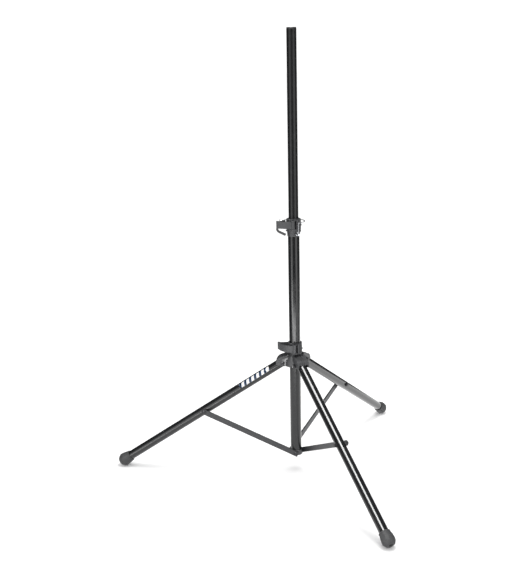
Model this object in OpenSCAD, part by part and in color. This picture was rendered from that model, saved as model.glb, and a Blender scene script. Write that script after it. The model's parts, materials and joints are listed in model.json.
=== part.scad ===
// Tripod stand for a loudspeaker: telescoping column, sliding hub, folding legs and braces.
// Origin: the column axis at floor level. +Z up the column, -X along the first leg.

/* [Column] */
// Wall thickness of the main tube
main_wall = 1.95; // [1.4:0.05:3]
// Radial room between the mast and the main tube, filled by a bush
mast_gap = 1.2; // [0.9:0.1:2.4]
// Height of the main tube's lower end above the floor
main_bottom = 84; // [60:1:120]
// Height of the main tube's upper end above the floor
main_top = 941; // [780:1:1100]

/* [Mast] */
// Outside diameter of the mast, the size that a speaker socket takes
mast_od = 35; // [28:0.1:43]
// Wall thickness of the mast tube
mast_wall = 1.8; // [1.2:0.1:3]
// Height of the mast tube's upper end above the floor
mast_top = 1638; // [1300:1:1900]
// Length of mast that stays inside the column
mast_engaged = 121; // [80:1:160]
// Length of the socket stretch above the depth mark
socket_len = 100; // [60:1:140]
// How far the end cap stands above the mast tube
cap_h = 5; // [3:0.5:8]

/* [Legs] */
// Outside diameter of a leg tube
leg_od = 34; // [28:0.1:42]
// Wall thickness of a leg tube
leg_wall = 1.5; // [1:0.1:2.5]
// Height of the leg pivots above the floor
hinge_z = 433; // [340:1:520]
// Radius from the column axis to the centre of a foot
foot_r = 668; // [520:1:820]
// How much wider than its leg the round end of a foot is, in radius
foot_swell = 7; // [4:0.5:12]
// Distance from a leg pivot to its brace bolt
brace_at = 359; // [290:1:420]

/* [Braces] */
// Height of the bar of a brace
brace_w = 19.5; // [14:0.5:24]
// Thickness of the bar of a brace
brace_t = 6; // [4:0.5:8]
// How far the lower brace pivots are below the main tube's lower end
brace_drop = 11; // [8:0.5:16]

/* [Clamps] */
// Wall of a clamp collar round the main tube
collar_wall = 5.85; // [5:0.05:8]
// Height of the clamping band of a collar
band_h = 35; // [30:1:44]
// Height of a latch lever
lever_h = 27; // [20:0.5:30]
// Thickness of a latch lever's blade
lever_t = 5; // [4:0.5:7]
// Direction that the clamp ears point in, seen from above
ear_dir = -55; // [-70:1:-40]

/* [Fits] */
// Radial running clearance of a sliding or turning fit
run_gap = 0.05; // [0.02:0.01:0.1]
// Gap between faces that pass each other
face_gap = 0.4; // [0.3:0.05:0.8]

/* [Hidden] */
$fn = 64;

// Leg directions, a third of a turn apart
leg_dirs = [180, 300, 60];

mast_r = mast_od / 2;
main_bore = mast_r + mast_gap;
main_r = main_bore + main_wall;
leg_r = leg_od / 2;
foot_ball = leg_r + foot_swell;
brace_z = main_bottom - brace_drop;
collar_r = main_r + collar_wall;
mast_foot = main_top - mast_engaged;
m8_r = 4;
m6_r = 3;
eps = 0.01;

// Hub: a bush on the column, then a ring that each leg's head just clears as it swings
bush_wall = 2.4;
hub_bore = main_r + bush_wall;
hub_r = hub_bore + 4.4;
leg_head = 6.4;
hinge_r = hub_r + face_gap + norm([leg_head, leg_r]);
leg_sweep = norm([leg_head, leg_r]) + face_gap;
cheek_r = leg_sweep + 5.44;
hub_low = hinge_z - 12;
hub_high = hinge_z + cheek_r + 10;

// Leg line, from its pivot down to the centre of its foot
leg_slope = atan2(hinge_z - foot_ball, foot_r - hinge_r);
leg_len = norm([hinge_z - foot_ball, foot_r - hinge_r]);
knee = [hinge_r + brace_at * cos(leg_slope), hinge_z - brace_at * sin(leg_slope)];

// Brace line, from its lower pivot up to the bolt on the leg
brace_slope = atan2(knee[1] - brace_z, knee[0]);
brace_len = norm([knee[0], knee[1] - brace_z]);
brace_inner = max(main_r + 0.85, leg_r + 4.5);
brace_outer = brace_inner + brace_t;

// Cheeks either side of each leg
cheek_in = leg_r + 0.7;
cheek_t = 5.3;
cheek_out = cheek_in + cheek_t;

// Clamp collars
lower_z = hub_high + 9;
upper_z = main_top;
neck_h = 28;
lug_t = (band_h - lever_h) / 2 - face_gap;
ear_len = 9.5;
ear_w = 9;
slit_w = 2.4;
bolt_r = collar_r + 4.5;
eye_out = 21;
eye_r = 6.5;
eye = [bolt_r * cos(ear_dir) + eye_out * sin(ear_dir),
       bolt_r * sin(ear_dir) - eye_out * cos(ear_dir)];
nut_t = 3.6;

// Levers: each blade is an arc from its eye round to a finger tab
upper_arc = collar_r * [-0.226, 3.32];
upper_tab = 246.5;
lower_arc = collar_r * [-0.113, 0.83];
lower_tab = 193;
upper_back = 188;
lower_back = 155;

// Safety pin: goes through a boss on the collar's neck, its nose short of the mast
pin_z = main_top - 17;
pin_dir = -60;
pin_r = 3.9;
pin_boss_r = pin_r + 3.4;
pin_boss_end = main_r + 5;
bail_r = collar_r + ear_len + 4;
bail_wire = 1.3;
bail_lift = upper_z + band_h - 9.5 - pin_z;
bail_turn = 215;
bail_curl = 8;

// ---- Placing ----

module leg_side(n) {
    rotate([0, 0, leg_dirs[n - 1]]) children();
}

module along_leg(n) {
    leg_side(n) translate([hinge_r, 0, hinge_z]) rotate([0, leg_slope, 0]) children();
}

module along_brace(n) {
    leg_side(n) translate([0, 0, brace_z]) rotate([0, -brace_slope, 0]) children();
}

// Extrudes a side view, drawn in X and Z, from y0 to y1
module upright(y0, y1) {
    translate([0, y1, 0]) rotate([90, 0, 0]) linear_extrude(y1 - y0) children();
}

// A cylinder along +Y from y0 to y1
module y_rod(r, y0, y1) {
    translate([0, y0, 0]) rotate([-90, 0, 0]) cylinder(r = r, h = y1 - y0);
}

// A hexagon across flats af, along +Y from y0 to y1
module y_hex(af, y0, y1) {
    translate([0, y0, 0]) rotate([-90, 0, 0]) cylinder(r = af / 2 / cos(30), h = y1 - y0, $fn = 6);
}

// A pan head of radius r and height h, standing on y0 along +Y
module y_pan(r, h, y0) {
    translate([0, y0, 0]) rotate([-90, 0, 0]) rotate_extrude() polygon([
        [0, 0], [r, 0], [r, h * 0.4], [r * 0.8, h * 0.85], [r * 0.45, h], [0, h]
    ]);
}

module ring(r_out, r_in, h) {
    difference() {
        cylinder(r = r_out, h = h, $fn = 96);
        translate([0, 0, -1]) cylinder(r = r_in, h = h + 2, $fn = 96);
    }
}

// ---- Column ----

module main_tube() {
    color([0.10, 0.10, 0.11])
        difference() {
            translate([0, 0, main_bottom]) ring(main_r, main_bore, main_top - main_bottom);
            translate([0, 0, pin_z]) rotate([0, 0, pin_dir + 90]) mirror([0, 1, 0])
                y_rod(pin_r + run_gap, mast_r, main_r + 2);
        }
}

spider_low = brace_z - 8;
spider_face = brace_inner - 0.35;
spider_r = main_r + 3.6;
plug_h = 26;
rivet_depth = 12;

// Three flat faces, one for each brace, under a plug that fills the tube's end
module base_spider() {
    color([0.22, 0.22, 0.23]) {
        difference() {
            translate([0, 0, spider_low]) cylinder(r = spider_r, h = main_bottom - spider_low);
            for (n = [1:3])
                leg_side(n) {
                    translate([-spider_r, spider_face, spider_low - 1])
                        cube([2 * spider_r, spider_r, main_bottom - spider_low + 2]);
                    translate([0, 0, brace_z]) y_rod(m8_r, spider_face - rivet_depth, spider_face + 1);
                }
            translate([0, 0, spider_low - 1]) cylinder(r = 6, h = 5);
        }
        translate([0, 0, main_bottom - eps]) difference() {
            cylinder(r = main_bore, h = plug_h);
            translate([0, 0, 4]) cylinder(r = main_bore - 3, h = plug_h);
        }
    }
}

module spider_rivets() {
    color([0.62, 0.62, 0.64])
        for (n = [1:3])
            leg_side(n) translate([0, 0, brace_z]) {
                y_rod(m8_r, spider_face - rivet_depth, brace_outer + face_gap);
                y_pan(7.5, 2.6, brace_outer + face_gap);
            }
}

// ---- Clamp collars ----

// Everything that a collar's band adds to its ring, before the slit: ears and lever lugs
module collar_lugs(z) {
    rotate([0, 0, ear_dir])
        translate([collar_r - 4, -ear_w, z]) cube([ear_len + 4, 2 * ear_w, band_h]);
    for (k = [0, 1])
        translate([0, 0, z + k * (band_h - lug_t)]) linear_extrude(lug_t) lug_outline();
}

lug_r = eye_r + 1;
lug_root = 2.2;
lug_spread = [34, -28];

// Top view of a lug: round about the eye, with straight sides into the band
module lug_outline() {
    facing = atan2(eye[1], eye[0]);
    root = collar_r - lug_root;
    translate(eye) circle(r = lug_r, $fn = 32);
    polygon([
        eye + (lug_r - 0.1) * [cos(facing + 80), sin(facing + 80)],
        eye + (lug_r - 0.1) * [cos(facing - 80), sin(facing - 80)],
        root * [cos(facing + lug_spread[1]), sin(facing + lug_spread[1])],
        root * [cos(facing + lug_spread[0]), sin(facing + lug_spread[0])]
    ]);
}

// Slit between the ears, bolt hole and lever pin holes
module collar_cuts(z) {
    rotate([0, 0, ear_dir]) {
        translate([0, -slit_w / 2, z - eps]) cube([collar_r + ear_len + 2, slit_w, band_h + 1]);
        translate([bolt_r, 0, z + band_h / 2]) y_rod(m6_r + 0.1, -ear_w - 1, ear_w + 1);
    }
    translate([eye[0], eye[1], z - 1]) cylinder(r = m6_r, h = band_h + 2);
}

// The lever swings in the gap between the lugs
module collar_lever_gap(z) {
    translate([eye[0], eye[1], z + lug_t])
        cylinder(r = eye_r + 0.6, h = band_h - 2 * lug_t);
}

module clamp_bolt(z) {
    rotate([0, 0, ear_dir]) translate([bolt_r, 0, z + band_h / 2]) {
        y_rod(m6_r, -ear_w - nut_t - 1, ear_w);
        y_pan(5.5, 3.4, ear_w);
    }
}

module clamp_nut(z) {
    rotate([0, 0, ear_dir]) translate([bolt_r, 0, z + band_h / 2])
        difference() {
            y_hex(10, -ear_w - nut_t, -ear_w);
            y_rod(m6_r, -ear_w - nut_t - 1, -ear_w + 1);
        }
}

module lever_pin(z) {
    translate([eye[0], eye[1], z - 0.8]) {
        cylinder(r = m6_r, h = band_h + 1.6);
        cylinder(r = 4.4, h = 0.8);
        translate([0, 0, band_h + 0.8]) cylinder(r = 4.4, h = 0.8);
    }
}

// Blade swept about a point from the eye to the tab's angle, with a round thumb pad at its end;
// the eye and the pad stand a little above and below the blade
blade_step = 0.6;

module lever_blade(z, centre, tab, back) {
    reach = norm(eye - centre);
    start = atan2(eye[1] - centre[1], eye[0] - centre[0]);
    tip = centre + reach * [cos(tab), sin(tab)];
    difference() {
        union() {
            translate([centre[0], centre[1], z + blade_step]) rotate([0, 0, tab])
                rotate_extrude(angle = start + 360 - tab, $fn = 96)
                    translate([reach - lever_t / 2, 0]) square([lever_t, lever_h - 2 * blade_step]);
            translate([tip[0], tip[1], z]) cylinder(r = lever_t * 0.85, h = lever_h);
            translate([eye[0], eye[1], z]) cylinder(r = eye_r, h = lever_h);
            lever_return(z, tip, back);
        }
        translate([eye[0], eye[1], z - 1]) cylinder(r = m6_r + run_gap, h = lever_h + 2);
    }
}

// Inner wall from the thumb pad back towards the collar, at the direction given
module lever_return(z, tip, back) {
    target = (collar_r + return_gap + return_t / 2) * [cos(back), sin(back)];
    run = target - tip;
    translate([tip[0], tip[1], z + 2 * blade_step]) rotate([0, 0, atan2(run[1], run[0])])
        translate([0, -return_t / 2, 0]) cube([norm(run), return_t, lever_h - 4 * blade_step]);
}

return_t = 4;
return_gap = 1.2;

// ---- Upper collar ----

screw_z = main_top - 8;
screw_dirs = [100, 250];

module upper_collar() {
    color([0.25, 0.25, 0.26])
        difference() {
            union() {
                rotate_extrude($fn = 96) polygon([
                    [main_r, upper_z - neck_h], [main_r + 2, upper_z - neck_h],
                    [main_r + 3, upper_z - neck_h * 0.55], [collar_r - 0.8, upper_z - 2],
                    [collar_r, upper_z], [collar_r, upper_z + band_h - 1.5],
                    [collar_r - 1.5, upper_z + band_h], [mast_r + bush_wall, upper_z + band_h],
                    [mast_r + bush_wall, upper_z], [main_r, upper_z]
                ]);
                collar_lugs(upper_z);
                pin_boss();
            }
            translate([0, 0, upper_z - eps]) cylinder(r = mast_r + bush_wall, h = band_h + 2, $fn = 96);
            translate([0, 0, upper_z - neck_h - 2]) cylinder(r = main_r, h = neck_h + 2, $fn = 96);
            collar_cuts(upper_z);
            collar_lever_gap(upper_z);
            translate([0, 0, pin_z]) rotate([0, 0, pin_dir + 90]) mirror([0, 1, 0])
                y_rod(pin_r + run_gap, mast_r, collar_r + 8);
            for (a = screw_dirs)
                rotate([0, 0, a]) translate([0, 0, screw_z]) y_rod(1.6, main_r - 1, collar_r + 3);
        }
}

// Boss on the neck that the safety pin goes through
module pin_boss() {
    rotate([0, 0, pin_dir]) translate([0, 0, pin_z]) rotate([0, 90, 0])
        translate([0, 0, main_r]) cylinder(r = pin_boss_r, h = pin_boss_end - main_r);
}

module upper_bush() {
    color([0.32, 0.32, 0.33])
        difference() {
            translate([0, 0, upper_z]) {
                ring(mast_r + bush_wall, mast_r + run_gap, band_h);
                translate([0, 0, band_h]) ring(mast_r + bush_wall + 1.4, mast_r + run_gap, 1.6);
            }
            rotate([0, 0, ear_dir + 180]) translate([0, -1, upper_z - 1]) cube([40, 2, band_h + 4]);
        }
}

module upper_clamp_bolt() {
    color([0.70, 0.70, 0.72]) clamp_bolt(upper_z);
}

module upper_clamp_nut() {
    color([0.70, 0.70, 0.72]) clamp_nut(upper_z);
}

module upper_lever_pin() {
    color([0.55, 0.55, 0.57]) lever_pin(upper_z);
}

module collar_screws() {
    color([0.55, 0.55, 0.57])
        for (a = screw_dirs)
            rotate([0, 0, a]) translate([0, 0, screw_z]) {
                y_rod(1.6, main_r, collar_r);
                y_pan(3.4, 2, collar_r - 0.4);
            }
}

lever_rise = (band_h - lever_h) / 2;

module upper_lever() {
    color([0.23, 0.23, 0.24]) lever_blade(upper_z + lever_rise, upper_arc, upper_tab, upper_back);
}

// A curved hook under the upper lever's tab, for a finger
hook_t = 6.5;
hook_w = 12;
hook_in = 10.5;
hook_sweep = 65;
hook_tail = 25;

module lever_hook() {
    reach = norm(eye - upper_arc);
    tip = upper_arc + reach * [cos(upper_tab), sin(upper_tab)];
    color([0.23, 0.23, 0.24])
        translate([tip[0], tip[1], upper_z + lever_rise]) upright(-hook_w / 2, hook_w / 2) hook_outline();
}

// Side view of the hook: an arc down from the tab, then a straight tail in towards the column
module hook_outline() {
    middle = hook_in + hook_t * 0.3;
    end = 180 + hook_sweep;
    tail = hook_tail * [cos(end + 90), sin(end + 90)];
    outer = [for (a = [180:5:end]) [middle, 0] + (hook_in + hook_t) * [cos(a), sin(a)]];
    inner = [for (a = [end:-5:180]) [middle, 0] + hook_in * [cos(a), sin(a)]];
    polygon(concat(outer, [outer[len(outer) - 1] + tail, inner[0] + tail], inner));
}

// ---- Safety pin ----

module safety_pin() {
    color([0.80, 0.80, 0.82])
        rotate([0, 0, pin_dir]) translate([0, 0, pin_z]) difference() {
            rotate([0, 90, 0]) {
                translate([0, 0, mast_r + 0.8]) cylinder(r = pin_r, h = bail_r + 2 - mast_r);
                translate([0, 0, pin_boss_end + face_gap]) cylinder(r = 5.6, h = 3);
            }
            translate([bail_r, 0, 0]) cylinder(r = bail_wire, h = pin_r + 1, $fn = 24);
        }
}

// Spring wire: up from the pin's head, round behind the mast, then a curl for a finger
module pin_bail() {
    color([0.80, 0.80, 0.82])
        rotate([0, 0, pin_dir]) translate([0, 0, pin_z]) {
            translate([bail_r, 0, 0]) cylinder(r = bail_wire, h = bail_lift, $fn = 24);
            translate([0, 0, bail_lift]) {
                translate([bail_r, 0, 0]) sphere(r = bail_wire * 1.3, $fn = 24);
                wire_arc(bail_r, 0, bail_turn);
                rotate([0, 0, bail_turn]) {
                    translate([bail_r, 0, 0]) sphere(r = bail_wire * 1.3, $fn = 24);
                    translate([bail_r + bail_curl, 0, 0]) wire_arc(bail_curl, 0, 180);
                }
            }
        }
}

// Round wire bent to an arc of radius r between two angles
module wire_arc(r, from, to) {
    rotate([0, 0, from]) rotate_extrude(angle = to - from, $fn = 96)
        translate([r, 0]) circle(r = bail_wire, $fn = 24);
}

// ---- Mast ----

mark_d = 0.35;

module mast_tube() {
    color([0.12, 0.12, 0.13])
        difference() {
            translate([0, 0, mast_foot]) ring(mast_r, mast_r - mast_wall, mast_top - mast_foot);
            translate([0, 0, mast_top - socket_len - 1]) ring(mast_r + 1, mast_r - mark_d, 1);
            for (a = [30, 210])
                rotate([0, 0, a]) translate([0, 0, mast_foot + 15])
                    y_rod(2, mast_r - mast_wall - 1, mast_r + 1);
        }
}

cap_r = mast_r - 0.3;

module mast_cap() {
    color([0.16, 0.16, 0.17]) {
        translate([0, 0, mast_top]) rotate_extrude() polygon([
            [0, 0], [cap_r, 0], [cap_r, cap_h - 1.4], [cap_r - 1.4, cap_h], [11, cap_h],
            [10, cap_h - 1.2], [0, cap_h - 1.2]
        ]);
        translate([0, 0, mast_top - 20]) cylinder(r = mast_r - mast_wall, h = 20 + eps);
    }
}

module mast_bush() {
    color([0.85, 0.85, 0.83])
        difference() {
            translate([0, 0, mast_foot]) ring(main_bore - run_gap, mast_r, 30);
            for (a = [30, 210])
                rotate([0, 0, a]) translate([0, 0, mast_foot + 15]) y_rod(2, mast_r - 1, main_bore + 1);
        }
}

module mast_rivets() {
    color([0.60, 0.60, 0.62])
        for (a = [30, 210])
            rotate([0, 0, a]) translate([0, 0, mast_foot + 15]) {
                y_rod(2, mast_r - mast_wall - 1.6, main_bore - 0.5);
                y_rod(3.2, mast_r - mast_wall - 2.6, mast_r - mast_wall - 0.6);
            }
}

// ---- Hub ----

// Side view of a cheek: round about the pivot, with a straight brow up to the hub's top
module cheek_outline() {
    pivot = [hinge_r, hinge_z];
    difference() {
        union() {
            translate(pivot) circle(r = cheek_r, $fn = 64);
            polygon([
                [hub_bore + 1, hub_low], pivot - [0, cheek_drop], pivot,
                brow_touch(0), [hub_bore + 2, hub_high], [hub_bore + 1, hub_high]
            ]);
        }
        below_cheek();
    }
}

module hub_casting() {
    color([0.24, 0.24, 0.25])
        difference() {
            union() {
                difference() {
                    hub_skirt();
                    for (n = [1:3])
                        leg_side(n) upright(-cheek_in, cheek_in) leg_room();
                }
                for (n = [1:3])
                    leg_side(n) wing();
            }
            for (n = [1:3])
                leg_side(n) translate([hinge_r, 0, hinge_z]) y_rod(m8_r, -cheek_out - 1, cheek_out + 1);
        }
}

skirt_r = hub_r + 13;
rib_step = 8.5;
rib_t = 3.4;
rib_h = 2;
fold_slope = 89;
room_len = 84;

// Bell between the wings
module hub_skirt() {
    rotate_extrude($fn = 96) polygon([
        [hub_bore, hub_low - 1], [hub_r, hub_low - 1], [hub_r + 0.6, hub_low + 1],
        [skirt_r - 2, hub_low + 1], [skirt_r, hub_low + 3], [skirt_r, hinge_z + 6],
        [skirt_r - 3, hinge_z + 14], [skirt_r - 8, hub_high - 10], [hub_r - 2, hub_high - 2],
        [hub_r - 4, hub_high], [hub_bore, hub_high]
    ]);
}

// Two cheeks joined by a ribbed roof above the leg's head
module wing() {
    upright(-cheek_out, -cheek_in) cheek_outline();
    upright(cheek_in, cheek_out) cheek_outline();
    upright(-cheek_in - 0.02, cheek_in + 0.02) roof_outline(-0.6);
    for (k = [-1:1])
        upright(k * rib_step - rib_t / 2, k * rib_step + rib_t / 2) roof_outline(rib_h - 0.6);
}

// Side view of what a leg's head and tube pass through as the leg swings
module leg_room() {
    translate([hinge_r, hinge_z]) {
        circle(r = leg_sweep, $fn = 64);
        for (slope = [leg_slope, (leg_slope + fold_slope) / 2, fold_slope])
            rotate(-slope) translate([0, -cheek_in]) square([room_len, 2 * cheek_in]);
    }
}

// What is cut away under a cheek, so that the leg shows below its bolt
module below_cheek() {
    polygon([
        [0, hinge_z - 2 * cheek_r], [0, hub_low], [hub_bore + 1, hub_low],
        [hinge_r, hinge_z - cheek_drop], [hinge_r + cheek_r + 3, hinge_z - cheek_nose],
        [hinge_r + cheek_r + 3, hinge_z - 2 * cheek_r]
    ]);
}

cheek_drop = 10.5;
cheek_nose = 3;

// Side view of the roof, standing proud of the cheeks' outline by a little
module roof_outline(proud) {
    difference() {
        union() {
            translate([hinge_r, hinge_z]) circle(r = cheek_r + proud, $fn = 64);
            polygon([
                [hub_bore + 1, hub_low + 1], [hinge_r - leg_sweep + 0.2, hub_low + 1],
                [hinge_r - leg_sweep + 0.2, hinge_z], [hinge_r, hinge_z], brow_touch(proud), [hub_bore + 2, hub_high + proud - 1.4],
                [hub_bore + 1, hub_high + proud - 1.4]
            ]);
        }
        leg_room();
        below_cheek();
        translate([0, hub_low]) square([hub_bore + 1, hub_high - hub_low]);
    }
}

// Where the brow's line leaves the round of a cheek
function brow_touch(proud) =
    let (rise = [hub_bore + 2, hub_high] - [hinge_r, hinge_z],
         touch = atan2(rise[1], rise[0]) - acos(cheek_r / norm(rise)))
    [hinge_r, hinge_z] + (cheek_r + proud - 0.05) * [cos(touch), sin(touch)];

module hub_bush() {
    color([0.32, 0.32, 0.33])
        translate([0, 0, hub_low + 1]) ring(hub_bore, main_r + run_gap, hub_high - hub_low - 2);
}

module leg_pivot_bolts() {
    color([0.55, 0.55, 0.57])
        for (n = [1:3])
            leg_side(n) translate([hinge_r, 0, hinge_z]) {
                y_rod(m8_r, -cheek_out - 6, cheek_out);
                y_pan(6.4, 3.2, cheek_out);
            }
}

module leg_pivot_nuts() {
    color([0.55, 0.55, 0.57])
        for (n = [1:3])
            leg_side(n) translate([hinge_r, 0, hinge_z])
                difference() {
                    y_hex(13, -cheek_out - 5, -cheek_out);
                    y_rod(m8_r, -cheek_out - 6, -cheek_out + 1);
                }
}

module lower_collar() {
    color([0.25, 0.25, 0.26])
        difference() {
            union() {
                rotate_extrude($fn = 96) polygon([
                    [main_r + 0.3, hub_high], [hub_r - 4, hub_high], [hub_r - 4, lower_z],
                    [collar_r, lower_z], [collar_r, lower_z + band_h - 1.5],
                    [collar_r - 1.5, lower_z + band_h], [main_r + 0.3, lower_z + band_h]
                ]);
                collar_lugs(lower_z);
            }
            translate([0, 0, hub_high - 1]) cylinder(r = main_r + 0.3, h = band_h + 10, $fn = 96);
            collar_cuts(lower_z);
            collar_lever_gap(lower_z);
        }
}

module lower_clamp_bolt() {
    color([0.70, 0.70, 0.72]) clamp_bolt(lower_z);
}

module lower_clamp_nut() {
    color([0.70, 0.70, 0.72]) clamp_nut(lower_z);
}

module lower_lever_pin() {
    color([0.55, 0.55, 0.57]) lever_pin(lower_z);
}

module lower_lever() {
    color([0.23, 0.23, 0.24])
        lever_blade(lower_z + lever_rise, lower_arc, lower_tab, lower_back);
}

// ---- Legs ----

boot_len = 55;
boot_mouth = leg_r + 2;
boot_back = leg_len + foot_ball - boot_len;
tube_end = leg_len - 4;
plug_len = 34;
spacer_end = brace_inner - face_gap;

module leg_tube(n) {
    color([0.11, 0.11, 0.12])
        along_leg(n) difference() {
            translate([-leg_head, 0, 0]) rotate([0, 90, 0]) ring(leg_r, leg_r - leg_wall, tube_end + leg_head);
            y_rod(m8_r + run_gap, -leg_r - 1, leg_r + 1);
            translate([brace_at, 0, 0]) y_rod(m8_r, -leg_r - 1, leg_r + 1);
        }
}

module leg_plug(n) {
    color([0.20, 0.20, 0.21])
        along_leg(n) difference() {
            translate([-leg_head, 0, 0]) rotate([0, 90, 0]) cylinder(r = leg_r - leg_wall, h = plug_len);
            y_rod(m8_r + run_gap, -leg_r - 1, leg_r + 1);
        }
}

// Rubber boot: a sleeve that flares to a round end
module leg_boot(n) {
    back = boot_back - leg_len;
    color([0.26, 0.26, 0.27])
        along_leg(n) translate([leg_len, 0, 0]) rotate([0, 90, 0])
            difference() {
                rotate_extrude() polygon(concat(
                    [[0, back], [boot_mouth, back], [boot_mouth + 0.6, back + 3],
                     [foot_ball - 0.6, back * 0.2]],
                    [for (a = [0:6:90]) [foot_ball * cos(a), foot_ball * sin(a)]]
                ));
                translate([0, 0, back - 1]) cylinder(r = leg_r, h = tube_end - boot_back + 1);
            }
}

module brace_bolt(n) {
    color([0.30, 0.30, 0.31])
        along_leg(n) translate([brace_at, 0, 0]) y_rod(m8_r, -leg_r - 7, spacer_end);
}

module brace_spacer(n) {
    color([0.30, 0.30, 0.31])
        along_leg(n) translate([brace_at, 0, 0]) difference() {
            y_rod(8, 0, spacer_end);
            rotate([0, 90, 0]) translate([0, 0, -10]) cylinder(r = leg_r, h = 20);
            y_rod(m8_r, -1, spacer_end + 1);
        }
}

module brace_nut(n) {
    color([0.55, 0.55, 0.57])
        along_leg(n) translate([brace_at, 0, 0]) difference() {
            union() {
                y_hex(13, -leg_r - 6, -leg_r - 0.6);
                y_rod(8, -leg_r - 0.8, 0);
            }
            rotate([0, 90, 0]) translate([0, 0, -10]) cylinder(r = leg_r, h = 20);
            y_rod(m8_r, -leg_r - 7, 1);
        }
}

// ---- Braces ----

module brace_bar(n) {
    color([0.20, 0.20, 0.21])
        along_brace(n) difference() {
            union() {
                translate([-brace_w / 2, brace_inner, -brace_w / 2])
                    cube([brace_len + brace_w / 2, brace_t, brace_w]);
                translate([brace_len, 0, 0]) y_rod(brace_w / 2, brace_inner, brace_outer);
            }
            y_rod(m8_r + run_gap, brace_inner - 1, brace_outer + 1);
            translate([brace_len, 0, 0]) y_rod(m8_r, brace_inner - 1, brace_outer + 1);
        }
}

module brace_rivet(n) {
    color([0.55, 0.55, 0.57])
        along_brace(n) translate([brace_len, 0, 0]) {
            y_rod(m8_r, brace_inner, brace_outer);
            y_pan(7.5, 3.4, brace_outer);
        }
}

main_tube();
base_spider();
spider_rivets();
upper_collar();
upper_bush();
upper_clamp_bolt();
upper_clamp_nut();
upper_lever_pin();
collar_screws();
upper_lever();
lever_hook();
safety_pin();
pin_bail();
mast_tube();
mast_cap();
mast_bush();
mast_rivets();
hub_casting();
hub_bush();
leg_pivot_bolts();
leg_pivot_nuts();
lower_collar();
lower_clamp_bolt();
lower_clamp_nut();
lower_lever_pin();
lower_lever();
for (n = [1:3]) {
    leg_tube(n);
    leg_plug(n);
    leg_boot(n);
    brace_bolt(n);
    brace_spacer(n);
    brace_nut(n);
    brace_bar(n);
    brace_rivet(n);
}
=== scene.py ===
# %% [markdown]
# # A loudspeaker's tripod stand
# The stand arrives as a packed mechanical model: tubes, castings, bolts and hinges, all in one
# frame, in metres, with +Z up the column and the floor at Z = 0. This notebook gives it its looks.
# Parts whose shape is already right keep it and get a material. Parts that a mould shapes, such as
# the rubber boots and the nylon castings, are made again with soft edges.

import json
from math import atan2, cos, pi, radians, sin

import bmesh
import bpy
from mathutils import Matrix, Vector


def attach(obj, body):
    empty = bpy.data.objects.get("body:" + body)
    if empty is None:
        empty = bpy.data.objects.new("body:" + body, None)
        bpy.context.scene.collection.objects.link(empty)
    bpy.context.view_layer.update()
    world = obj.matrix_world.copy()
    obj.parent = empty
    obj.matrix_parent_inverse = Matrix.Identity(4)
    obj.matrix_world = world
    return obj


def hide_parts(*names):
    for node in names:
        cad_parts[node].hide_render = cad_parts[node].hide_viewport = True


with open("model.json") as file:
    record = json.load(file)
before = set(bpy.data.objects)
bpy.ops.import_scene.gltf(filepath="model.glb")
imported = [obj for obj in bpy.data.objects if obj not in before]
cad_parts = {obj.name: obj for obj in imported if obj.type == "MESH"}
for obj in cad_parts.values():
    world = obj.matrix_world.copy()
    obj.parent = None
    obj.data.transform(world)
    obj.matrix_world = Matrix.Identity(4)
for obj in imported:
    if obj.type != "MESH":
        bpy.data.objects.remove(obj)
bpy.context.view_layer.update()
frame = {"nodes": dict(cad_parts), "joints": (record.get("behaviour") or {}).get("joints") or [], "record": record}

# %% [markdown]
# ## The camera
# The camera stands three and a half metres off, at the height of the mast's tip, and looks down
# at the stand. A long lens from far away keeps the tubes almost parallel. Five plain values place
# it: where it stands, which way it is turned, how far it looks down, how much it leans, and its
# focal length.

# %% Camera
def turned(yaw, pitch, roll):
    """Rotation of a camera that looks along +Y, then turns left, looks down and leans."""
    level = Matrix.Rotation(yaw, 4, "Z") @ Matrix.Rotation(pi / 2 - pitch, 4, "X")
    return level @ Matrix.Rotation(roll, 4, "Z")


camera_data = bpy.data.cameras.new("studio_camera")
camera_data.lens = 63.75
camera_data.clip_end = 30
camera = bpy.data.objects.new("studio_camera", camera_data)
bpy.context.collection.objects.link(camera)
camera.matrix_world = Matrix.Translation((0.2287, -3.5912, 1.6886)) @ turned(
    radians(5.785), radians(15.04), radians(-1.216)
)
bpy.context.scene.camera = camera
print("camera", [round(v, 3) for v in camera.location], "lens", camera_data.lens, "mm")

# %% [markdown]
# ## Helpers for materials
# Screens and paint charts give colours as sRGB hex values, while a shader works in linear light,
# so one function turns the first into the second. Another adds a node, sets its values and joins
# its inputs, which keeps each material below short enough to read as a recipe.

# %% Colour and node helpers
def linear(hex_colour):
    """sRGB hex, such as 'c8ccd0', to a linear RGBA colour."""
    channels = [int(hex_colour[i:i + 2], 16) / 255 for i in (0, 2, 4)]
    return [c / 12.92 if c <= 0.04045 else ((c + 0.055) / 1.055) ** 2.4 for c in channels] + [1.0]


def add(tree, kind, settings=None, **inputs):
    """Add a node; settings are its own options, inputs are values or sockets to link from.

    An input is named by its label, or by i and its number where labels repeat."""
    node = tree.nodes.new(kind)
    for key, value in (settings or {}).items():
        setattr(node, key, value)
    for key, value in inputs.items():
        numbered = key[0] == "i" and key[1:].isdigit()
        socket = node.inputs[int(key[1:]) if numbered else key.replace("_", " ")]
        if isinstance(value, bpy.types.NodeSocket):
            tree.links.new(value, socket)
        else:
            socket.default_value = value
    return node


def blank(name):
    """A new material with an empty tree, its shader and the object's own coordinates."""
    material = bpy.data.materials.new(name)
    material.use_nodes = True
    tree = material.node_tree
    tree.nodes.clear()
    shader = tree.nodes.new("ShaderNodeBsdfPrincipled")
    output = tree.nodes.new("ShaderNodeOutputMaterial")
    tree.links.new(shader.outputs["BSDF"], output.inputs["Surface"])
    place = add(tree, "ShaderNodeTexCoord").outputs["Object"]
    return material, tree, shader, place


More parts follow.
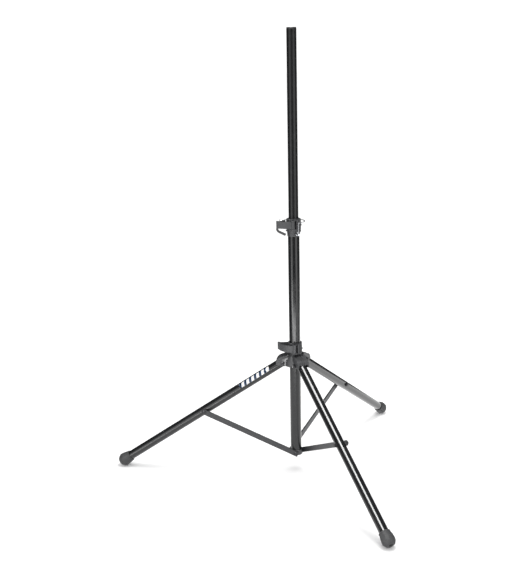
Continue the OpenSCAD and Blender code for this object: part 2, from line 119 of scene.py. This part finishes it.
def ramp(tree, factor, stops):
    """A colour ramp through (position, colour) stops."""
    node = add(tree, "ShaderNodeValToRGB", i0=factor)
    while len(node.color_ramp.elements) < len(stops):
        node.color_ramp.elements.new(1.0)
    for element, (position, colour) in zip(node.color_ramp.elements, stops):
        element.position = position
        element.color = colour
    return node.outputs["Color"]


def grey(value):
    return (value, value, value, 1.0)

# %% [markdown]
# ## Powder-coated steel tube
# The column, the legs and the braces have a baked black powder coat. The powder flows into a fine
# orange peel, about 1.5 mm from bump to bump, so faint that long highlights stay nearly clean.
# Handling leaves slightly duller patches. Two noises do this: a small one bumps the peel, and a
# large one moves the colour and the roughness together. A low roughness is what lets the tubes
# mirror the cards as sharp bands; the brace bars are more than twice as rough and show none.

# %% Powder-coated tube
PEEL_MM = 1.5
PATCH_MM = 60


def powder_coat(name, colour, lighter, roughness):
    material, tree, shader, place = blank(name)
    peel = add(tree, "ShaderNodeTexNoise", Vector=place, Scale=1000 / PEEL_MM, Detail=2.0)
    patch = add(tree, "ShaderNodeTexNoise", Vector=place, Scale=1000 / PATCH_MM, Detail=6.0, Roughness=0.6)
    tint = ramp(tree, patch.outputs["Fac"], [(0.35, linear(colour)), (0.7, linear(lighter))])
    gloss = ramp(tree, patch.outputs["Fac"], [(0.3, grey(roughness)), (0.75, grey(roughness + 0.08))])
    tree.links.new(tint, shader.inputs["Base Color"])
    tree.links.new(gloss, shader.inputs["Roughness"])
    bump = add(tree, "ShaderNodeBump", Strength=0.02, Distance=0.00002, Height=peel.outputs["Fac"])
    tree.links.new(bump.outputs["Normal"], shader.inputs["Normal"])
    shader.inputs["IOR"].default_value = 1.5
    return material


tube_black = powder_coat("powder-coated tube, semi-gloss black", "191a1b", "1e1f20", 0.15)
brace_black = powder_coat("powder-coated brace bar, satin black", "26272a", "2c2d30", 0.38)

# %% [markdown]
# ## Anodised mast
# The mast slides in and out of the column, so it isn't painted: it is aluminium tube, anodised
# black. The tube was drawn through a die, which leaves very fine lines along its length, and the
# collar's bush has rubbed faint bright scuffs round it. The lines are a noise squeezed to 0.3 mm
# across and stretched along Z.

# %% Anodised mast
DRAW_LINE_MM = 0.3
RUB_MM = 14


def anodised(name, colour, worn):
    material, tree, shader, place = blank(name)
    drawn = add(tree, "ShaderNodeMapping", Vector=place, Scale=(1.0, 1.0, 0.01))
    fine = 1000 / DRAW_LINE_MM
    lines = add(tree, "ShaderNodeTexNoise", Vector=drawn.outputs["Vector"], Scale=fine, Detail=2.0)
    rubbed = add(tree, "ShaderNodeMapping", Vector=place, Scale=(0.35, 0.35, 1.0))
    rub = add(tree, "ShaderNodeTexNoise", Vector=rubbed.outputs["Vector"], Scale=1000 / RUB_MM, Detail=5.0)
    tint = ramp(tree, rub.outputs["Fac"], [(0.55, linear(colour)), (0.85, linear(worn))])
    gloss = ramp(tree, lines.outputs["Fac"], [(0.3, grey(0.26)), (0.7, grey(0.34))])
    tree.links.new(tint, shader.inputs["Base Color"])
    tree.links.new(gloss, shader.inputs["Roughness"])
    shader.inputs["Metallic"].default_value = 0.35
    bump = add(tree, "ShaderNodeBump", Strength=0.15, Distance=0.00003, Height=lines.outputs["Fac"])
    tree.links.new(bump.outputs["Normal"], shader.inputs["Normal"])
    return material


mast_black = anodised("anodised aluminium mast, black", "1d1e1f", "2c2d2e")

# %% [markdown]
# ## Moulded nylon
# The hub, the collars, the levers and the spider are glass-filled nylon, moulded in tools with a
# spark-eroded texture about 0.6 mm across. It has no sharp gloss: highlights are wide and soft.
# Hands polish it in patches, so a broad cloud, 25 mm across, moves its colour and its roughness
# together: where it is lighter it is also a little rougher.

# %% Moulded nylon
SPARK_MM = 0.6
CLOUD_MM = 25


def moulded(name, colour, lighter, roughness):
    material, tree, shader, place = blank(name)
    spark = add(tree, "ShaderNodeTexVoronoi", Vector=place, Scale=1000 / SPARK_MM)
    cloud = add(tree, "ShaderNodeTexNoise", Vector=place, Scale=1000 / CLOUD_MM, Detail=4.0)
    tint = ramp(tree, cloud.outputs["Fac"], [(0.35, linear(colour)), (0.7, linear(lighter))])
    gloss = ramp(tree, cloud.outputs["Fac"], [(0.3, grey(roughness)), (0.8, grey(roughness + 0.1))])
    tree.links.new(tint, shader.inputs["Base Color"])
    tree.links.new(gloss, shader.inputs["Roughness"])
    bump = add(tree, "ShaderNodeBump", Strength=0.25, Distance=0.00006, Height=spark.outputs["Distance"])
    tree.links.new(bump.outputs["Normal"], shader.inputs["Normal"])
    shader.inputs["IOR"].default_value = 1.53
    return material


nylon_black = moulded("moulded nylon, satin black", "37383a", "3d3e41", 0.46)
cap_black = moulded("moulded polythene cap, black", "1e1f20", "252627", 0.42)
acetal = moulded("moulded acetal bush, natural", "c9c8c2", "d3d2cc", 0.4)

# %% [markdown]
# ## Rubber
# The boots are matt black rubber. Rubber picks up grey dust and scuffs from floors, and its skin
# has a very fine grain. The dust is a noise that lightens the colour in patches.

# %% Rubber
RUBBER_GRAIN_MM = 0.5
DUST_MM = 12

rubber, tree, shader, place = blank("moulded rubber, matt black")
dust = add(tree, "ShaderNodeTexNoise", Vector=place, Scale=1000 / DUST_MM, Detail=6.0, Roughness=0.65)
grain = add(tree, "ShaderNodeTexNoise", Vector=place, Scale=1000 / RUBBER_GRAIN_MM, Detail=2.0)
tint = ramp(tree, dust.outputs["Fac"], [(0.4, linear("2a2b2d")), (0.75, linear("353638"))])
tree.links.new(tint, shader.inputs["Base Color"])
shader.inputs["Roughness"].default_value = 0.72
shader.inputs["IOR"].default_value = 1.52
bump = add(tree, "ShaderNodeBump", Strength=0.3, Distance=0.0001, Height=grain.outputs["Fac"])
tree.links.new(bump.outputs["Normal"], shader.inputs["Normal"])

# %% [markdown]
# ## Metals of the fasteners
# The clamp bolts are zinc plated, the rivets and pivot bolts are black oxide over steel, and the
# safety pin and its spring wire are chrome plated. All three are the metal's own reflection with
# a different roughness; a fine noise keeps each from looking like one flat colour.

# %% Plated metals
PLATE_MM = 0.8


def plated(name, colour, darker, metallic, roughness):
    material, tree, shader, place = blank(name)
    speck = add(tree, "ShaderNodeTexNoise", Vector=place, Scale=1000 / PLATE_MM, Detail=4.0)
    tint = ramp(tree, speck.outputs["Fac"], [(0.3, linear(darker)), (0.65, linear(colour))])
    gloss = ramp(tree, speck.outputs["Fac"], [(0.3, grey(roughness + 0.07)), (0.7, grey(roughness))])
    tree.links.new(tint, shader.inputs["Base Color"])
    tree.links.new(gloss, shader.inputs["Roughness"])
    shader.inputs["Metallic"].default_value = metallic
    return material


chrome = plated("chrome-plated steel wire", "d8dadd", "c4c7cb", 1.0, 0.08)
zinc = plated("zinc-plated steel", "b4b6b8", "9b9da0", 1.0, 0.3)
black_oxide = plated("black oxide steel", "3a3a3c", "28282a", 0.7, 0.34)

# %% [markdown]
# ## Giving the carried-over parts their finish
# A part that keeps its shape only needs its material slots filled. The table names the finish of
# every node, so that none is left in the grey that it was packed with.

# %% Finishes by node
def nodes_named(*stems):
    """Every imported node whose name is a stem, or a stem and a number."""
    return [n for n in frame["nodes"] if any(n == s or n.rsplit("_", 1)[0] == s for s in stems)]


def finish_nodes(material, *stems):
    for name in nodes_named(*stems):
        mesh = bpy.data.objects[name].data
        mesh.materials.clear()
        mesh.materials.append(material)
        for polygon in mesh.polygons:
            polygon.material_index = 0


finish_nodes(tube_black, "main_tube", "leg_tube")
finish_nodes(mast_black, "mast_tube")
finish_nodes(brace_black, "brace_bar")
finish_nodes(nylon_black, "base_spider", "upper_collar", "upper_bush", "hub_casting", "hub_bush")
finish_nodes(nylon_black, "lower_collar", "upper_lever", "lever_hook", "lower_lever")
finish_nodes(nylon_black, "leg_plug", "brace_spacer")
finish_nodes(cap_black, "mast_cap")
finish_nodes(acetal, "mast_bush")
finish_nodes(rubber, "leg_boot")
finish_nodes(chrome, "safety_pin", "pin_bail")
finish_nodes(zinc, "mast_rivets")
finish_nodes(black_oxide, "spider_rivets", "upper_lever_pin", "collar_screws", "leg_pivot_bolts")
finish_nodes(black_oxide, "upper_clamp_bolt", "upper_clamp_nut", "lower_clamp_bolt", "lower_clamp_nut")
finish_nodes(black_oxide, "leg_pivot_nuts", "lower_lever_pin", "brace_bolt", "brace_nut", "brace_rivet")
print(len(frame["nodes"]), "nodes have a finish")

# %% [markdown]
# ## Moulded parts with soft edges
# A mould never gives a knife edge: each outside corner of the hub, the collars and the levers is
# rounded by about a millimetre, and that thin rounding is what catches the light and makes a
# casting look solid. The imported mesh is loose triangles, so a copy is welded first, its flat
# faces are joined back into single faces, and then its sharp edges get a bevel in two steps.

# %% Softened copies
def body_of_node(name):
    groups = frame["record"]["behaviour"]["bodies"]
    return next(body for body, names in groups.items() if name in names)


def weld(bm, flat=radians(1)):
    bmesh.ops.remove_doubles(bm, verts=bm.verts, dist=0.00001)
    bmesh.ops.dissolve_limit(bm, angle_limit=flat, verts=bm.verts, edges=bm.edges)


def new_piece(name, bm, material, body, *stands_for):
    """Make an object of a bmesh, smooth it by angle and tie it to its body."""
    mesh = bpy.data.meshes.new(name)
    bmesh.ops.recalc_face_normals(bm, faces=bm.faces)
    bm.to_mesh(mesh)
    bm.free()
    mesh.materials.append(material)
    piece = bpy.data.objects.new(name, mesh)
    bpy.context.collection.objects.link(piece)
    for polygon in mesh.polygons:
        polygon.use_smooth = True
    mesh.set_sharp_from_angle(angle=radians(32))
    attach(piece, body)
    if stands_for:
        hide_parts(*stands_for)
    return piece


def softened(node, material, radius, steps=2):
    """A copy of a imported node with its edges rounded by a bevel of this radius, in metres."""
    bm = bmesh.new()
    bm.from_mesh(bpy.data.objects[node].data)
    weld(bm)
    piece = new_piece(node + "_moulded", bm, material, body_of_node(node), node)
    bevel = piece.modifiers.new("soft edges", "BEVEL")
    bevel.width = radius
    bevel.segments = steps
    bevel.limit_method = "ANGLE"
    bevel.angle_limit = radians(40)
    bevel.use_clamp_overlap = True
    bevel.harden_normals = False
    print(node, "softened,", len(piece.data.polygons), "faces before the bevel")
    return piece


softened("hub_casting", nylon_black, 0.0012)
softened("upper_collar", nylon_black, 0.0008)
softened("lower_collar", nylon_black, 0.0008)
softened("upper_lever", nylon_black, 0.0009)
softened("lower_lever", nylon_black, 0.0009)
softened("lever_hook", nylon_black, 0.001)
softened("base_spider", nylon_black, 0.001)
for n in (1, 2, 3):
    softened(f"brace_bar_{n}", brace_black, 0.0022, 3)

# %% [markdown]
# ## Where the legs lie
# A leg runs from its bolt in the hub to its round foot. Both ends are known from the packed
# boxes and joints, so each leg gets a small frame of its own: X along the tube, towards the
# floor. Anything round about a leg is then made on that axis and moved into place once.

# %% Leg frames
joint_named = {joint["name"]: joint for joint in frame["joints"]}
FOOT_BALL = 0.024
FOOT_CIRCLE = 0.668
LEG_R = 0.017


def leg_frame(n):
    """Matrix from leg space, X down the leg from its pivot, to the stand's frame."""
    pivot = Vector(joint_named[f"leg_{n}_fold"]["pos_m"])
    out = Vector((pivot.x, pivot.y, 0)).normalized()
    foot = out * FOOT_CIRCLE + Vector((0, 0, FOOT_BALL))
    along = (foot - pivot).normalized()
    side = Vector((-out.y, out.x, 0))
    up = along.cross(side)
    turn = Matrix((along, side, up)).transposed().to_4x4()
    return Matrix.Translation(pivot) @ turn, (foot - pivot).length


leg_length = leg_frame(1)[1]
print("leg, pivot to foot centre:", round(leg_length, 4), "m")

# %% [markdown]
# ## Rubber boots
# A boot is a cup of rubber pushed over the tube. It has a rolled lip at its mouth, a wall that
# swells towards the floor, eight moulded grooves along the wall for grip, and a blunt end with
# a deep round recess where the mould's core pin stood. The profile is drawn once as a line of
# points and spun about the leg, which gives clean rings of faces. Two strips of the wall in every
# ten are then pressed in together with an inset to make a groove, so the grooves follow the swell
# by themselves. A boolean would leave ragged faces there.

# %% Boots
BOOT_MM = 55
GROOVES = 8
STEPS = 10 * GROOVES
RECESS_R = 0.0075
END_ANGLE = 50


def boot_profile(mouth, length):
    """Radius along the leg, from inside the mouth over the swell to the middle of the end."""
    wall = FOOT_BALL - LEG_R
    line = [
        (mouth + 0.004, LEG_R + 0.0001), (mouth + 0.0004, LEG_R + 0.0004), (mouth, LEG_R + 0.0012),
        (mouth + 0.0003, LEG_R + 0.0028), (mouth + 0.0015, LEG_R + 0.0034),
        (mouth + 0.0040, LEG_R + 0.0034),
        (mouth + 0.0052, LEG_R + 0.0026), (mouth + 0.0075, LEG_R + 0.0030),
        (mouth + 0.019, LEG_R + 0.8 * wall), (mouth + 0.029, FOOT_BALL - 0.0001),
    ]
    for angle in range(4, END_ANGLE + 1, 6):
        line.append((length + FOOT_BALL * sin(radians(angle)), FOOT_BALL * cos(radians(angle))))
    face = line[-1][0]
    line += [
        (face + 0.0012, line[-1][1] - 0.0014), (face + 0.0018, line[-1][1] - 0.0034),
        (face + 0.0018, RECESS_R + 0.0008), (face + 0.0012, RECESS_R),
        (face - 0.0050, RECESS_R - 0.0008),
        (face - 0.0056, RECESS_R - 0.0016), (face - 0.0056, 0.0),
    ]
    return line


def boot(n):
    place, length = leg_frame(n)
    mouth = length + FOOT_BALL - BOOT_MM / 1000
    bm = bmesh.new()
    verts = [bm.verts.new((x, 0, z)) for x, z in boot_profile(mouth, length)]
    edges = [bm.edges.new(pair) for pair in zip(verts, verts[1:])]
    bmesh.ops.spin(
        bm, geom=verts + edges, cent=(0, 0, 0), axis=(1, 0, 0), dvec=(0, 0, 0),
        angle=2 * pi, steps=STEPS, use_merge=True, use_duplicate=False,
    )
    bmesh.ops.remove_doubles(bm, verts=bm.verts, dist=0.00001)
    grooves = []
    for face in bm.faces:
        x, y, z = face.calc_center_median()
        strip = int((atan2(z, y) / (2 * pi) + 1) * STEPS)
        if mouth + 0.006 < x < length + 0.006 and strip % 10 in (0, 1):
            grooves.append(face)
    bmesh.ops.inset_region(bm, faces=grooves, thickness=0.0004, depth=-0.0011, use_even_offset=True)
    bmesh.ops.transform(bm, matrix=place, verts=bm.verts)
    piece = new_piece(f"boot_{n}", bm, rubber, f"leg_{n}", f"leg_boot_{n}")
    return piece


for n in (1, 2, 3):
    print("boot", n, "has", len(boot(n).data.polygons), "faces")

# %% [markdown]
# ## A plain label
# Such a stand carries a printed label on one leg. This one is a row of slanted white bars with
# blue edges and says nothing. It is a thin skin of clear film over black print that wraps part
# of the tube: a line along the tube is spun part of a turn, then given the film's thickness.
# The print is a material that reads the piece's own UV map, where U runs along the tube and V
# round it. A slanted bar is U plus a share of V, and the repeat of that sum picks each bar.

# %% Label film
LABEL_START = 0.055
LABEL_LENGTH = 0.135
LABEL_TURN = radians(71)
LABEL_MID = radians(35)
BARS = 6.0
SLANT = 0.055

film, tree, shader, place = blank("printed vinyl label, white bars with blue edges")
uv = add(tree, "ShaderNodeSeparateXYZ", Vector=add(tree, "ShaderNodeTexCoord").outputs["UV"])
slanted = add(
    tree, "ShaderNodeMath", {"operation": "MULTIPLY_ADD"},
    i0=uv.outputs["Y"], i1=SLANT, i2=uv.outputs["X"],
)
repeats = add(tree, "ShaderNodeMath", {"operation": "MULTIPLY"}, i0=slanted.outputs[0], i1=BARS)
along = add(tree, "ShaderNodeMath", {"operation": "FRACT"}, i0=repeats.outputs[0])
bars = ramp(tree, along.outputs[0], [
    (0.0, linear("141617")), (0.10, linear("1f5688")), (0.20, linear("ece9e6")),
    (0.72, linear("1f5688")), (0.84, linear("141617")),
])
margin = ramp(tree, uv.outputs["Y"], [
    (0.0, grey(0)), (0.08, grey(1)), (0.92, grey(0)),
])
for colours in (bars, margin):
    colours.node.color_ramp.interpolation = "CONSTANT"
print_colour = add(tree, "ShaderNodeMix", {"data_type": "RGBA"}, i0=margin, i6=linear("141617"), i7=bars)
scuff = add(tree, "ShaderNodeTexNoise", Vector=place, Scale=250.0, Detail=4.0)
gloss = ramp(tree, scuff.outputs["Fac"], [(0.3, grey(0.22)), (0.7, grey(0.34))])
tree.links.new(print_colour.outputs[2], shader.inputs["Base Color"])
tree.links.new(gloss, shader.inputs["Roughness"])

bm = bmesh.new()
radius = LEG_R + 0.00012
first = [bm.verts.new((LABEL_START + LABEL_LENGTH * k / 6, radius, 0)) for k in range(7)]
edge = [bm.edges.new(pair) for pair in zip(first, first[1:])]
bmesh.ops.spin(
    bm, geom=first + edge, cent=(0, 0, 0), axis=(1, 0, 0), dvec=(0, 0, 0),
    angle=LABEL_TURN, steps=16, use_merge=False, use_duplicate=False,
)
layer = bm.loops.layers.uv.new("label")
for face in bm.faces:
    for loop in face.loops:
        x, y, z = loop.vert.co
        loop[layer].uv = ((x - LABEL_START) / LABEL_LENGTH, abs(atan2(z, y)) / LABEL_TURN)
turned_up = 1 if max(v.co.z for v in bm.verts) > 0.001 else -1
bmesh.ops.rotate(
    bm, verts=bm.verts, cent=(0, 0, 0),
    matrix=Matrix.Rotation(LABEL_MID - turned_up * LABEL_TURN / 2, 3, "X"),
)
bmesh.ops.transform(bm, matrix=leg_frame(1)[0], verts=bm.verts)
label = new_piece("plain_label", bm, film, "leg_1")
skin = label.modifiers.new("film", "SOLIDIFY")
skin.thickness = 0.0001
skin.offset = 0
print("label spun", "towards the top" if turned_up > 0 else "downwards")

# %% [markdown]
# ## The floor and the light
# The set is a white sweep under soft, even light. Black gloss shows little of its own colour, so
# what gives the tubes their shape is what they mirror. A studio that lights glossy black things
# keeps the room dark and puts white cards where a highlight is wanted. The floor itself is left
# out of the mirrored rays, so that each card alone decides where a tube is pale.

# %% Floor
def flat_sheet(name, material, width, depth):
    """A rectangle in the XY plane about the origin, part of the set and not of the stand."""
    bm = bmesh.new()
    bmesh.ops.create_grid(bm, x_segments=1, y_segments=1, size=0.5)
    bmesh.ops.scale(bm, vec=(width, depth, 1), verts=bm.verts)
    mesh = bpy.data.meshes.new(name)
    bm.to_mesh(mesh)
    bm.free()
    mesh.materials.append(material)
    sheet = bpy.data.objects.new(name, mesh)
    bpy.context.collection.objects.link(sheet)
    return sheet


floor_white, tree, shader, place = blank("matt white paper sweep")
tone = add(tree, "ShaderNodeTexNoise", Vector=place, Scale=3.0, Detail=2.0)
paper = ramp(tree, tone.outputs["Fac"], [(0.3, grey(0.93)), (0.7, grey(0.95))])
tree.links.new(paper, shader.inputs["Base Color"])
shader.inputs["Roughness"].default_value = 0.9
shader.inputs["Specular IOR Level"].default_value = 0.1

floor = flat_sheet("paper_sweep", floor_white, 60, 60)
floor.visible_glossy = False

# %% [markdown]
# ### Cards
# A card far out on each side draws the two pale bands down the column. They stand so far away
# that the left leg, whose upper half faces the sky, looks over their tops and stays black. A wide
# strip overhead draws the white line down the front leg. A low card draws the thin light line
# along the left leg, and the two sheets on the floor fill the undersides and the rear leg. Each is
# a plain glowing sheet that only mirror-like rays can see.

# %% Cards that the tubes mirror
def card(name, place, aim, width, height, glow):
    """A glowing sheet that faces a point and is seen only in reflections."""
    material = bpy.data.materials.new(name)
    material.use_nodes = True
    material.node_tree.nodes.clear()
    emission = add(material.node_tree, "ShaderNodeEmission", Color=grey(1.0), Strength=glow)
    output = material.node_tree.nodes.new("ShaderNodeOutputMaterial")
    material.node_tree.links.new(emission.outputs["Emission"], output.inputs["Surface"])
    sheet = flat_sheet(name, material, width, height)
    away = Vector(place) - Vector(aim)
    turn = away.to_track_quat("Z", "Y").to_matrix().to_4x4() if away.length else Matrix.Identity(4)
    sheet.data.transform(Matrix.Translation(place) @ turn)
    for ray in ("camera", "diffuse", "shadow", "transmission"):
        setattr(sheet, "visible_" + ray, False)
    return sheet


card("left_card", (-2.0, -2.3, 0.5), (0, 0, 0.5), 2.0, 2.4, 2.0)
card("low_card", (-0.6, -1.35, 0.11), (-0.6, 0, 0.11), 2.4, 0.2, 9.0)
card("right_card", (2.4, -1.85, 0.5), (0, 0, 0.5), 2.4, 2.4, 2.0)
card("paper_card", (0, 0, -0.001), (0, 0, -0.001), 2.6, 2.6, 1.5)
card("rear_card", (1.1, 1.0, 0.0005), (1.1, 1.0, 0), 1.9, 1.7, 2.3)
card("strip_card", (-0.45, -1.2, 3.0), (-0.45, -1.2, 0), 1.5, 2.2, 24.0)

# %% [markdown]
# ### Soft light
# A white room on every side gives the even light, which matt nylon and rubber need. One soft box
# overhead adds the faint shadows under the feet. Mirror-like rays see a dark room instead of the
# white one: the mix below picks the background by the kind of ray.

# %% Room light
def soft_box(name, place, aim, width, height, watts):
    """A rectangular area light at a place, facing a point."""
    data = bpy.data.lights.new(name, "AREA")
    data.shape = "RECTANGLE"
    data.size = width
    data.size_y = height
    data.energy = watts
    box = bpy.data.objects.new(name, data)
    bpy.context.collection.objects.link(box)
    away = Vector(place) - Vector(aim)
    box.matrix_world = Matrix.Translation(place) @ away.to_track_quat("Z", "Y").to_matrix().to_4x4()
    box.visible_glossy = False
    return box


soft_box("overhead_box", (0.3, 0.3, 3.4), (0, 0, 0.2), 1.2, 1.2, 42)

world = bpy.data.worlds.new("studio_room")
bpy.context.scene.world = world
world.use_nodes = True
room = world.node_tree
room.nodes.clear()
mirrored = add(room, "ShaderNodeLightPath").outputs["Is Glossy Ray"]
white = add(room, "ShaderNodeBackground", Color=grey(1.0), Strength=1.14)
dark = add(room, "ShaderNodeBackground", Color=grey(1.0), Strength=0.06)
either = add(room, "ShaderNodeMixShader", i0=mirrored, i1=white.outputs[0], i2=dark.outputs[0])
add(room, "ShaderNodeOutputWorld", Surface=either.outputs[0])
bpy.context.scene.view_settings.view_transform = "Standard"
bpy.context.scene.view_settings.look = "None"
